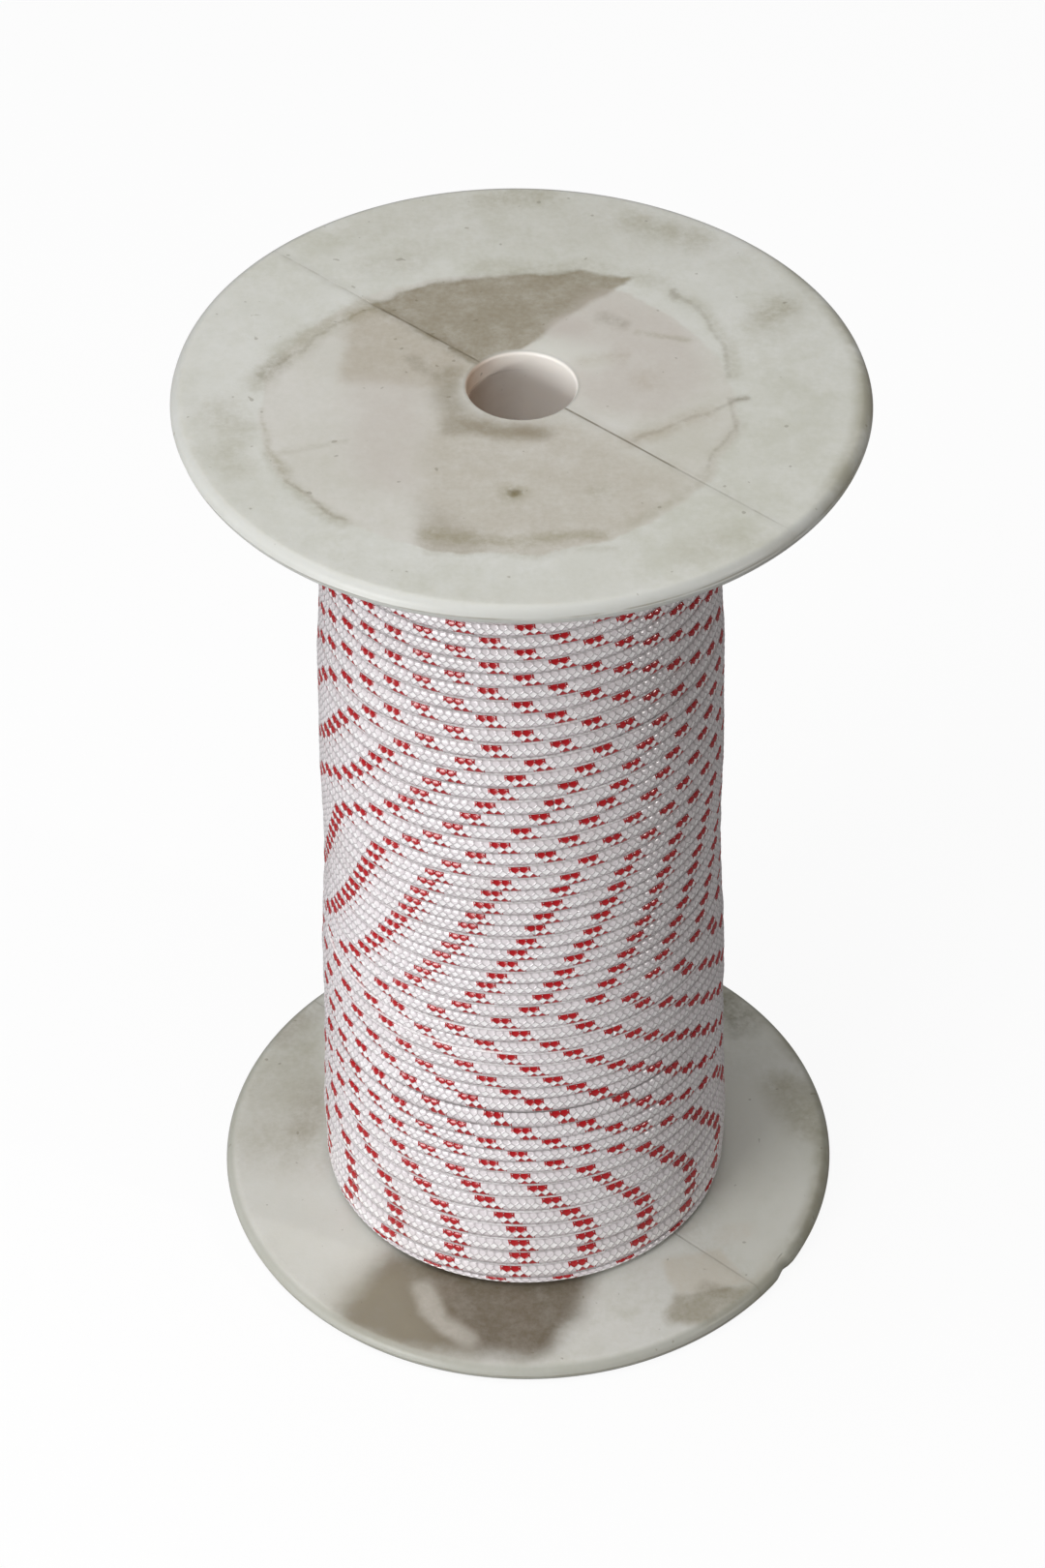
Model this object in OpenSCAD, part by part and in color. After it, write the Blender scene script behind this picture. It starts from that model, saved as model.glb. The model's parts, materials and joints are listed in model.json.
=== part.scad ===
// Reel of braided cord.
// The reel is a moulding with two disc flanges and a barrel, which a spindle passes through. The cord's
// inner layers are one plain solid, and its outer layer is wound over them as one unbroken tube.
// Millimetres. +Z runs up the reel's axis, and the origin is the centre of the face that it stands on.

/* [Flanges] */
// Outside diameter of each flange
flange_d = 125; // [100:1:200]
// Thickness of each flange, whose rim is fully rounded
flange_t = 4; // [2:0.5:10]

/* [Barrel] */
// Clear length of barrel between the flanges
traverse = 191; // [120:1:300]
// Diameter of the spindle bore, through the barrel and both flanges
bore_d = 19.5; // [8:0.5:30]
// Wall of the barrel round the bore
barrel_wall = 4; // [2:0.5:8]
// Radius of the rounded mouth at each end of the bore
mouth_r = 2; // [0.5:0.25:2]

/* [Winding] */
// Diameter of the cord
cord_d = 3; // [2:0.25:5]
// Diameter over the winding at the upper flange
wind_d_top = 73; // [60:1:95]
// Diameter over the winding at the lower flange
wind_d_bottom = 82; // [60:1:95]
// Turns that the outer layer is drawn with
turns = 24; // [6:1:24]
// Clearance between the cord and what it lies against
cord_gap = 0.1; // [0.05:0.05:0.4]

/* [Hidden] */
$fn = 96;

// Reel
flange_r = flange_d / 2;
rim_r = flange_t / 2;
bore_r = bore_d / 2;
barrel_r = bore_r + barrel_wall;
mouth = min(mouth_r, rim_r);
low_face_z = flange_t;
high_face_z = flange_t + traverse;
overlap = 1;

// Winding
rings_per_turn = 24;
sides = 6;
cord_r = cord_d / 2;
low_turn_z = low_face_z + cord_r + cord_gap;
high_turn_z = high_face_z - cord_r - cord_gap;
first_angle = 90;

// Radius over the winding at a height, tapering from the lower flange to the upper one
function wind_r(z) =
    let (up = (z - low_face_z) / traverse)
    wind_d_bottom / 2 * (1 - up) + wind_d_top / 2 * up;

// Radius of the inner layers, clear of the flats between the rings of the outer layer's tube
function core_r(z) = (wind_r(z) - cord_d) * cos(180 / rings_per_turn) - cord_gap;

// Point on the middle of the outer layer's cord after a number of turns
function turn_point(t) =
    let (z = low_turn_z + (high_turn_z - low_turn_z) * t / turns)
    let (a = first_angle + 360 * t)
    let (r = wind_r(z) - cord_r)
    [r * cos(a), r * sin(a), z];

function unit(v) = v / norm(v);

// Direction of the cord after a number of turns
function turn_way(t) = unit(turn_point(t + 0.001) - turn_point(t - 0.001));

// One ring of the tube: its corners lie round the point p, square to the way w
function ring(p, w) =
    let (side = unit(cross(w, [p.x, p.y, 0])))
    let (out = cross(side, w))
    [for (k = [0 : sides - 1]) p + cord_r * (cos(360 * k / sides) * out + sin(360 * k / sides) * side)];

steps = turns * rings_per_turn;
middle = [for (i = [0 : steps]) turn_point(i / rings_per_turn)];
start_way = turn_way(0);
end_way = turn_way(turns);

// The tube's rings, with a straight run of one cord diameter at each end
cord_rings = [
    ring(middle[0] - cord_d * start_way, start_way),
    for (i = [0 : steps]) ring(middle[i], turn_way(i / rings_per_turn)),
    ring(middle[steps] + cord_d * end_way, end_way)
];
last_ring = len(cord_rings) - 1;

// Least distance between the tube's surfaces on turns that lie side by side
least_gap = min([
    for (i = [0 : steps - rings_per_turn])
        for (k = [-2 : 2])
            let (j = min(i + rings_per_turn + k, steps))
            norm(middle[i] - middle[j]) - cord_d
]);
echo(least_gap_of_the_winding_to_itself_mm = least_gap);

module flange_profile() {
    difference() {
        union() {
            translate([bore_r, 0]) square([flange_r - rim_r - bore_r, flange_t]);
            translate([flange_r - rim_r, rim_r]) circle(r = rim_r);
        }
        difference() {
            translate([bore_r - overlap, flange_t - mouth]) square(mouth + overlap);
            translate([bore_r + mouth, flange_t - mouth]) circle(r = mouth);
        }
    }
}

module upper_flange() {
    color([0.79, 0.80, 0.76])
        translate([0, 0, high_face_z])
            rotate_extrude()
                flange_profile();
}

module lower_flange() {
    color([0.76, 0.77, 0.73])
        translate([0, 0, low_face_z])
            mirror([0, 0, 1])
                rotate_extrude()
                    flange_profile();
}

module barrel() {
    color([0.74, 0.73, 0.69])
        translate([0, 0, low_face_z])
            difference() {
                cylinder(h = traverse, r = barrel_r);
                translate([0, 0, -overlap]) cylinder(h = traverse + 2 * overlap, r = bore_r);
            }
}

module cord_inner_layers() {
    color([0.80, 0.70, 0.69])
        rotate_extrude()
            polygon([
                [barrel_r + cord_gap, low_face_z],
                [core_r(low_face_z), low_face_z],
                [core_r(high_face_z), high_face_z],
                [barrel_r + cord_gap, high_face_z]
            ]);
}

module cord_outer_layer() {
    color([0.93, 0.90, 0.89])
        polyhedron(
            points = [for (r = cord_rings) each r],
            faces = [
                for (i = [0 : last_ring - 1])
                    for (k = [0 : sides - 1])
                        let (a = i * sides + k)
                        let (b = i * sides + (k + 1) % sides)
                        each [[a, a + sides, b], [b, a + sides, b + sides]],
                for (k = [1 : sides - 2]) [0, k, k + 1],
                for (k = [1 : sides - 2])
                    let (first = last_ring * sides)
                    [first, first + k + 1, first + k]
            ],
            convexity = 10
        );
}

upper_flange();
lower_flange();
barrel();
cord_inner_layers();
cord_outer_layer();
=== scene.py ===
"""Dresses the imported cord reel: stained polyethylene, wound with white braided cord that has a red tracer.

Everything is in metres, in the frame's own axes: +Z up the reel's axis, the origin under the middle of the
lower flange, and the front of the winding facing -Y. Angles round the reel are 0 at the front and grow to the
right.
"""

import json
import logging
import math
from dataclasses import dataclass
from enum import Enum

import bmesh
import bpy
import numpy as np
from mathutils import Matrix, Vector


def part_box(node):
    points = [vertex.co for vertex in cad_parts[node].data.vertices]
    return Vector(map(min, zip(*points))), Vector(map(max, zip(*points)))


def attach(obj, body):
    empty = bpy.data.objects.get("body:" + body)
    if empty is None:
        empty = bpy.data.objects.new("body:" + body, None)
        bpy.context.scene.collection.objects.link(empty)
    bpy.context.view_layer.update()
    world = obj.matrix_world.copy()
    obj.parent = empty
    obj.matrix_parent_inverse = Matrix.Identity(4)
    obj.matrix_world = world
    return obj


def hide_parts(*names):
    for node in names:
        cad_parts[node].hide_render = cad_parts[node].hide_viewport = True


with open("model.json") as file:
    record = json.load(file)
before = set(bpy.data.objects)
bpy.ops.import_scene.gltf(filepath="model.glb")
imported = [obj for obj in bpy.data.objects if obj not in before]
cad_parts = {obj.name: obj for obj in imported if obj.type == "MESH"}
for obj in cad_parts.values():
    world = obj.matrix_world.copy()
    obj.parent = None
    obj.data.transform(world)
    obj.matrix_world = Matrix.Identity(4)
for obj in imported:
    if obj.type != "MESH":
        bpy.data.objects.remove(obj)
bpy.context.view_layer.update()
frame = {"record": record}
MM = 0.001
ROOT = "root"
SMOOTH_ANGLE = math.radians(40)
CORD_D = 3 * MM
PARTING_WAY = math.radians(-42)
log = logging.getLogger("cord_reel")

Colour = tuple[float, float, float]
Points = tuple[tuple[float, float], ...]


class Slot(Enum):
    """The record's material slots."""

    REEL = "reel_plastic"
    CORD = "braided_cord"


# ---------------------------------------------------------------- helpers


def smooth_through(points: Points, x: np.ndarray) -> np.ndarray:
    """Reads a smooth curve that passes through given points and stays level beyond them.

    Args:
        points: Pairs of place and value, with the places growing.
        x: The places to read the curve at.

    Returns:
        The curve's values at x.
    """
    never_zero = 1e-30
    px, py = (np.array(column, float) for column in zip(*points))
    steps = np.diff(py) / np.diff(px)
    before, after = steps[:-1], steps[1:]
    slopes = np.zeros_like(py)
    slopes[1:-1] = np.where(before * after > 0, 2 * before * after / (before + after + never_zero), 0)
    slopes[0], slopes[-1] = steps[0], steps[-1]
    x = np.clip(x, px[0], px[-1])
    i = np.clip(np.searchsorted(px, x) - 1, 0, len(px) - 2)
    width = px[i + 1] - px[i]
    s = (x - px[i]) / width
    start = py[i] * (1 + 2 * s) * (1 - s) ** 2 + slopes[i] * width * s * (1 - s) ** 2
    end = py[i + 1] * s * s * (3 - 2 * s) + slopes[i + 1] * width * s * s * (s - 1)
    return start + end


def linear(colour: Colour, dim: float = 1.0) -> tuple[float, float, float, float]:
    """Turns a screen colour of 0 to 255 into the linear colour that a shader takes, dimmed if asked."""
    return tuple(dim * ((c / 255 + 0.055) / 1.055) ** 2.4 for c in colour) + (1.0,)


def deselect_all() -> None:
    """Leaves nothing selected, so that an operator acts on the new piece alone."""
    if bpy.context.object and bpy.context.object.mode != "OBJECT":
        bpy.ops.object.mode_set(mode="OBJECT")
    bpy.ops.object.select_all(action="DESELECT")


def leave_edit_mode() -> None:
    """Turns the faces of the mesh in hand outwards and leaves edit mode."""
    bpy.ops.mesh.select_all(action="SELECT")
    bpy.ops.mesh.normals_make_consistent(inside=False)
    bpy.ops.object.mode_set(mode="OBJECT")


def shade_smooth(piece: bpy.types.Object) -> None:
    """Shades a mesh smooth but for its sharp edges.

    Args:
        piece: The mesh object, in object mode.
    """
    deselect_all()
    piece.select_set(True)
    bpy.context.view_layer.objects.active = piece
    bpy.ops.object.shade_smooth_by_angle(angle=SMOOTH_ANGLE)


def install(piece: bpy.types.Object, name: str, material: bpy.types.Material,
            nodes: tuple[str, ...] = ()) -> None:
    """Names a finished piece, gives it its material, and lets it ride on the reel's body.

    Args:
        piece: The finished mesh object, at the origin.
        name: The piece's name.
        material: The material to wear.
        nodes: CAD nodes that the piece stands for.
    """
    piece.name = name
    piece.data.name = name
    piece.data.materials.clear()
    piece.data.materials.append(material)
    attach(piece, ROOT)
    if nodes:
        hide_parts(*nodes)
    log.info("%s: %d faces, stands for %s", name, len(piece.data.polygons), ", ".join(nodes) or "nothing")


class Value:
    """A number, colour or vector that a material's nodes work out; the numbers take +, -, *, / and abs()."""

    def __init__(self, graph: "Graph", socket: bpy.types.NodeSocket) -> None:
        """Holds a node's output.

        Args:
            graph: The graph that the node belongs to.
            socket: The node's output.
        """
        self.graph = graph
        self.socket = socket

    def __add__(self, other: object) -> "Value":
        """Adds a value or a plain number."""
        return self.graph.math("ADD", self, other)

    def __sub__(self, other: object) -> "Value":
        """Takes a value or a plain number away."""
        return self.graph.math("SUBTRACT", self, other)

    def __rsub__(self, other: object) -> "Value":
        """Takes this value away from a plain number."""
        return self.graph.math("SUBTRACT", other, self)

    def __mul__(self, other: object) -> "Value":
        """Multiplies by a value or a plain number."""
        return self.graph.math("MULTIPLY", self, other)

    def __truediv__(self, other: object) -> "Value":
        """Divides by a value or a plain number."""
        return self.graph.math("DIVIDE", self, other)

    def __abs__(self) -> "Value":
        """Drops the sign."""
        return self.graph.math("ABSOLUTE", self)

    __radd__, __rmul__ = __add__, __mul__


class Graph:
    """A material's node tree, with one short method for each kind of node that the finishes use."""

    MIX_AMOUNT, MIX_A, MIX_B, MIX_RESULT = 0, 6, 7, 2

    def __init__(self, name: str) -> None:
        """Starts a material with a Principled shader and an output.

        Args:
            name: The material's name.
        """
        self.material = bpy.data.materials.new(name)
        self.material.use_nodes = True
        self.tree = self.material.node_tree
        self.shader = self.tree.nodes["Principled BSDF"]

    def node(self, kind: str, inputs: dict[str | int, object] | None = None, output: str | int = 0,
             **settings: object) -> Value:
        """Adds a node and gives one of its outputs.

        Args:
            kind: The node's type without "ShaderNode".
            inputs: What goes into it, by the input's name or number.
            output: Name or number of the output.
            settings: The node's own settings.

        Returns:
            The output.
        """
        made = self.tree.nodes.new(f"ShaderNode{kind}")
        for key, setting in settings.items():
            setattr(made, key, setting)
        self.fill(made, inputs or {})
        return Value(self, made.outputs[output])

    def fill(self, made: bpy.types.Node, inputs: dict[str | int, object]) -> None:
        """Links a node's inputs to values, or sets them to plain ones.

        Args:
            made: The node.
            inputs: What goes into it, by the input's name or number.
        """
        for key, value in inputs.items():
            if isinstance(value, Value):
                self.tree.links.new(value.socket, made.inputs[key])
            else:
                made.inputs[key].default_value = value

    def math(self, operation: str, *values: object) -> Value:
        """Works out a number from others."""
        return self.node("Math", dict(enumerate(values)), operation=operation)

    def step(self, value: object, low: float, high: float) -> Value:
        """Goes smoothly from 0 at low to 1 at high, whichever of them is the higher.

        Args:
            value: The number that is read.
            low: Where the step is 0.
            high: Where it is 1.

        Returns:
            The step, from 0 to 1.
        """
        turned = low > high
        inputs = (value, min(low, high), max(low, high), float(turned), float(not turned))
        return self.node("MapRange", dict(enumerate(inputs)), interpolation_type="SMOOTHSTEP")

    def mix(self, amount: object, a: object, b: object, blend: str = "MIX") -> Value:
        """Mixes two colours."""
        inputs = {self.MIX_AMOUNT: amount, self.MIX_A: a, self.MIX_B: b}
        return self.node("Mix", inputs, self.MIX_RESULT, data_type="RGBA", blend_type=blend)

    def noise(self, place: Value, scale: float, detail: float = 2.0, roughness: float = 0.5,
              output: str | int = 0) -> Value:
        """Gives noise of a scale in cycles a metre, from 0 to 1."""
        inputs = {"Vector": place, "Scale": scale, "Detail": detail, "Roughness": roughness}
        return self.node("TexNoise", inputs, output)

    def bump(self, height: Value, distance: float, strength: float = 1.0) -> Value:
        """Gives the normal of a bump whose height is in metres."""
        return self.node("Bump", {"Height": height, "Distance": distance, "Strength": strength})

    def vector(self, operation: str, a: object, b: object, output: str = "Vector") -> Value:
        """Works out a vector, or for some operations a number, from two vectors."""
        return self.node("VectorMath", {0: a, 1: b}, output, operation=operation)

    def scaled(self, a: object, factor: object) -> Value:
        """Scales a vector."""
        return self.node("VectorMath", {0: a, "Scale": factor}, operation="SCALE")

    def length(self, a: Value) -> Value:
        """Gives the length of a vector."""
        return self.node("VectorMath", {0: a}, "Value", operation="LENGTH")

    def dot(self, a: object, b: object) -> Value:
        """Gives the dot product of two vectors."""
        return self.vector("DOT_PRODUCT", a, b, "Value")

    def parts(self, vector: Value) -> list[Value]:
        """Splits a vector into its three numbers."""
        made = self.node("SeparateXYZ", {0: vector}).socket.node
        return [Value(self, socket) for socket in made.outputs]


# ---------------------------------------------------------------- finishes


@dataclass(frozen=True)
class Clouds:
    """Noise that a soft step turns into clouds, 0 between them and 1 inside.

    Attributes:
        scale: Cycles a metre.
        detail: Octaves of finer noise.
        roughness: How strong the finer noise is.
        low: The noise at which a cloud starts.
        high: The noise at which it is full.
    """

    scale: float
    detail: float
    roughness: float
    low: float
    high: float

    def over(self, g: Graph, place: Value) -> Value:
        """Gives the clouds over a place."""
        return g.step(g.noise(place, self.scale, self.detail, self.roughness), self.low, self.high)


@dataclass(frozen=True)
class Patch:
    """A stained or bleached patch on a flange's face, with straight sides.

    Attributes:
        corners: Its corners in flange radii, anticlockwise from above.
        tone: Screen colour of the patch.
        strength: How far it covers the plastic, 0 to 1.
        soft: Width over which its sides fade, in flange radii.
        in_label: Whether it ends at the ring that a label left.
        ragged: How much of it comes and goes, 0 to 1.
    """

    corners: Points
    tone: Colour
    strength: float
    soft: float = 0.03
    in_label: bool = False
    ragged: float = 0.5

    def cover(self, g: Graph, place: Value) -> Value:
        """Draws the patch.

        Args:
            g: The graph to draw in.
            place: The place on the face, in flange radii.

        Returns:
            1 inside the patch and 0 outside.
        """
        inside: Value | float = 1.0
        for (ax, ay), (bx, by) in zip(self.corners, self.corners[1:] + self.corners[:1]):
            length = math.hypot(bx - ax, by - ay)
            normal = ((by - ay) / length, (ax - bx) / length, 0.0)
            reach = ax * normal[0] + ay * normal[1]
            inside = inside * g.step(g.dot(place, normal), reach + self.soft / 2, reach - self.soft / 2)
        return inside


@dataclass(frozen=True)
class Stroke:
    """A smear or line on a flange's face, along a run of points.

    Attributes:
        points: Its points in flange radii; one point makes a round spot.
        width: Half its width, in flange radii.
        tone: Screen colour of the smear.
        strength: How far it covers the plastic, 0 to 1.
        soft: Width over which its sides fade, in flange radii.
        in_label: Whether it ends at the ring that a label left.
        ragged: How much of it comes and goes, 0 to 1.
    """

    points: Points
    width: float
    tone: Colour
    strength: float
    soft: float = 0.02
    in_label: bool = False
    ragged: float = 0.9

    def cover(self, g: Graph, place: Value) -> Value:
        """Draws the stroke.

        Args:
            g: The graph to draw in.
            place: The place on the face, in flange radii.

        Returns:
            1 along the stroke and 0 away from it.
        """
        nearest = None
        ends = list(zip(self.points, self.points[1:])) or [(self.points[0], self.points[0])]
        for (ax, ay), (bx, by) in ends:
            way = Vector((bx - ax, by - ay, 0.0))
            offset = g.vector("SUBTRACT", place, (ax, ay, 0.0))
            if way.length > 0:
                run = g.dot(offset, tuple(way / way.length_squared))
                run = g.math("MINIMUM", g.math("MAXIMUM", run, 0.0), 1.0)
                offset = g.vector("SUBTRACT", offset, g.scaled(tuple(way), run))
            away = g.length(offset)
            nearest = away if nearest is None else g.math("MINIMUM", nearest, away)
        return g.step(nearest, self.width + self.soft / 2, max(self.width - self.soft / 2, 0.0))


@dataclass(frozen=True)
class LabelRing:
    """The round ghost of a label that was once stuck on the upper face, in flange radii."""

    x: float = -0.065
    y: float = -0.115
    half_width: float = 0.675
    half_height: float = 0.648
    soft: float = 0.012
    strength: float = 0.35

    def cover(self, g: Graph, place: Value) -> Value:
        """Draws the ring's inside.

        Args:
            g: The graph to draw in.
            place: The place on the face, in flange radii.

        Returns:
            1 inside the ring and 0 outside.
        """
        flat = g.vector("MULTIPLY", g.vector("SUBTRACT", place, (self.x, self.y, 0.0)),
                        (1 / self.half_width, 1 / self.half_height, 0.0))
        return g.step(g.length(flat), 1 + self.soft, 1 - self.soft)


class Here:
    """Where a point on the reel lies, as its material sees it."""

    def __init__(self, g: Graph) -> None:
        """Finds the point's place, its coordinates and its distance from the reel's axis.

        Args:
            g: The material's graph.
        """
        self.place = g.node("TexCoord", output="Object")
        self.x, self.y, self.z = g.parts(self.place)
        self.out = g.math("SQRT", self.x * self.x + self.y * self.y)


@dataclass(frozen=True)
class ReelPlastic:
    """Semi-matte natural polyethylene with mottling, dirt specks, stains and a dirt-filled parting line, with
    painted shade on the rims and painted light and shade on the bore's wall.
    """

    clean: Colour = (208, 208, 200)
    pale: Colour = (218, 218, 213)
    dingy: Colour = (183, 183, 165)
    dirt: Colour = (104, 94, 70)
    residue: Colour = (203, 196, 188)
    # Painted shade and painted light on the bore's wall: dark brown at the front left, pale at the rear
    # right.
    bore_shade: Colour = (190, 165, 143)
    bore_lit: Colour = (246, 242, 236)
    lip_shade: Colour = (168, 166, 160)
    rim_shade: Colour = (182, 183, 180)
    parting_tone: Colour = (96, 84, 62)
    flash_tone: Colour = (120, 112, 92)
    right_rim_tone: Colour = (132, 126, 100)
    mottling: Clouds = Clouds(55, 5, 0.62, 0.30, 0.70)
    cloudy: Clouds = Clouds(28, 6, 0.68, 0.48, 0.70)
    patchy: Clouds = Clouds(170, 5, 0.72, 0.25, 0.62)
    fine: Clouds = Clouds(900, 3, 0.6, 0.3, 0.7)
    specks: Clouds = Clouds(700, 0, 0.4, 0.82, 0.86)
    parting_breaks: Clouds = Clouds(160, 3, 0.6, 0.30, 0.60)
    flash_breaks: Clouds = Clouds(110, 3, 0.6, 0.35, 0.6)
    right_rim_clouds: Clouds = Clouds(70, 4, 0.6, 0.30, 0.62)
    roughness: float = 0.40
    bore: float = 9.75 * MM
    drift_scale: float = 130.0
    drift: float = 0.07

    def build(self, name: str, radius: float, face_z: float, rim_z: float, marks: tuple[Patch | Stroke, ...],
              label: LabelRing | None = None) -> bpy.types.Material:
        """Makes the material for one flange or for the barrel.

        Args:
            name: The material's name.
            radius: The flange's radius.
            face_z: Height of the face that the marks lie on.
            rim_z: Height of the flash line round the rim.
            marks: The stains on the face.
            label: The ring that a label left, if any.

        Returns:
            The material.
        """
        g = Graph(name)
        here = Here(g)
        place = here.place
        drift = g.noise(place, self.drift_scale, 5.0, output="Color")
        drift = g.scaled(g.vector("SUBTRACT", drift, (0.5, 0.5, 0.5)), self.drift)
        spot = g.vector("MULTIPLY", g.vector("ADD", g.scaled(place, 1 / radius), drift), (1.0, 1.0, 0.0))
        tone = g.mix(self.mottling.over(g, place), linear(self.clean), linear(self.pale))
        tone = g.mix(self.cloudy.over(g, place) * 0.55, tone, linear(self.dingy))
        on_face = g.step(abs(here.z - face_z), 1.4 * MM, 0.6 * MM)
        inside: Value | float = 0.0
        if label:
            inside = label.cover(g, spot) * on_face
            tone = g.mix(inside * label.strength, tone, linear(self.residue))
        patchy, fine = self.patchy.over(g, place), self.fine.over(g, place)
        grit = patchy * 0.7 + fine * 0.3
        tone = g.mix(fine * patchy * 0.16, tone, linear(self.dingy))
        where = {False: on_face, True: inside}
        uneven = {(ragged, in_label): where[in_label] * (grit * ragged + (1.0 - ragged))
                  for ragged, in_label in sorted({(mark.ragged, mark.in_label) for mark in marks})}
        for mark in marks:
            cover = mark.cover(g, spot) * uneven[mark.ragged, mark.in_label] * mark.strength
            tone = g.mix(cover, tone, linear(mark.tone))
        tone = self._bore(g, tone, here)
        tone = self._parting(g, tone, here, radius)
        tone = self._rim(g, tone, here, radius, rim_z)
        tone = g.mix(self.specks.over(g, place) * 0.38, tone, linear(self.dirt))
        grain = g.noise(place, 1500, 2, 0.6) + g.noise(place, 160, 3) * 2.0
        g.fill(g.shader, {
            "Base Color": tone,
            "Roughness": g.noise(place, 120, 3) * 0.2 + (self.roughness - 0.1),
            "Normal": g.bump(grain, 0.05 * MM, 0.35),
            "Specular IOR Level": 0.4,
            "Subsurface Weight": 0.12,
            "Subsurface Radius": (1.0, 0.85, 0.7),
            "Subsurface Scale": 2 * MM,
        })
        return g.material

    def _bore(self, g: Graph, tone: Value, here: Here) -> Value:
        """Paints the bore's wall with brown painted shade at the front left and pale painted light at the
        rear right.

        Args:
            g: The material's graph.
            tone: The colour so far.
            here: Where the shaded point lies.

        Returns:
            The colour with the bore's tints.
        """
        wall = g.step(here.out, self.bore + 0.45 * MM, self.bore + 0.05 * MM)
        lip = g.step(here.out, self.bore + 1.0 * MM, self.bore + 0.3 * MM)
        sideways = (here.x * 0.75 + here.y * 0.66) / self.bore
        # pale is 1 on the bore's painted-light rear right and 0 on its painted-shade front left.
        pale = g.step(sideways + (g.noise(here.place, 160, 3, 0.6) - 0.5) * 0.5, -0.75, 0.80)
        # Painted shade on the rounded mouth along the bore's pale side.
        tone = g.mix(lip * pale * 0.9, tone, linear(self.lip_shade))
        # The wall takes painted shade at the front left and painted light at the rear right.
        return g.mix(wall, tone, g.mix(pale, linear(self.bore_shade), linear(self.bore_lit)))

    def _parting(self, g: Graph, tone: Value, here: Here, radius: float) -> Value:
        """Darkens the parting line across the faces, most of all in their inner part.

        Args:
            g: The material's graph.
            tone: The colour so far.
            here: Where the shaded point lies.
            radius: The flange's radius.

        Returns:
            The colour with the line.
        """
        cos, sin = math.cos(PARTING_WAY), math.sin(PARTING_WAY)
        across = abs(here.x * -sin + here.y * cos)
        along = abs(here.x * cos + here.y * sin)
        strong = g.step(along, 0.60 * radius, 0.54 * radius)
        line = g.step(across, 0.34 * MM, 0.08 * MM)
        halo = g.step(across, 2.0 * MM, 0.2 * MM)
        broken = self.parting_breaks.over(g, here.place) * 0.6 + 0.4
        cover = g.math("MAXIMUM", line * (strong * 0.42 + 0.30) * broken, halo * 0.07)
        clear_of_bore = g.step(here.out, self.bore + 0.1 * MM, self.bore + 0.7 * MM)
        return g.mix(cover * clear_of_bore, tone, linear(self.parting_tone))

    def _rim(self, g: Graph, tone: Value, here: Here, radius: float, rim_z: float) -> Value:
        """Paints shade over the rounded rim, and adds the dirty flash line round the rim and darker clouds on
        its right side.

        Args:
            g: The material's graph.
            tone: The colour so far.
            here: Where the shaded point lies.
            radius: The flange's radius.
            rim_z: Height of the flash line.

        Returns:
            The colour with both.
        """
        at_rim = g.step(here.out, radius - 1.2 * MM, radius - 0.6 * MM)
        # Painted shade over the rounded rim.
        turned = g.step(here.out, radius - 2.2 * MM, radius - 0.8 * MM)
        tone = g.mix(turned * 0.7, tone, linear(self.rim_shade))
        line = g.step(abs(here.z - rim_z), 0.22 * MM, 0.05 * MM)
        broken = self.flash_breaks.over(g, here.place) * 0.5 + 0.05
        tone = g.mix(at_rim * line * broken, tone, linear(self.flash_tone))
        # Darker clouds over the outer rim, on its right side only.
        outer = g.step(here.out, radius - 4.5 * MM, radius - 1.2 * MM)
        right = g.step(here.x, 0.55 * radius, 0.95 * radius)
        right_rim_clouds = outer * right * self.right_rim_clouds.over(g, here.place)
        return g.mix(right_rim_clouds * 0.62, tone, linear(self.right_rim_tone))


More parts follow.
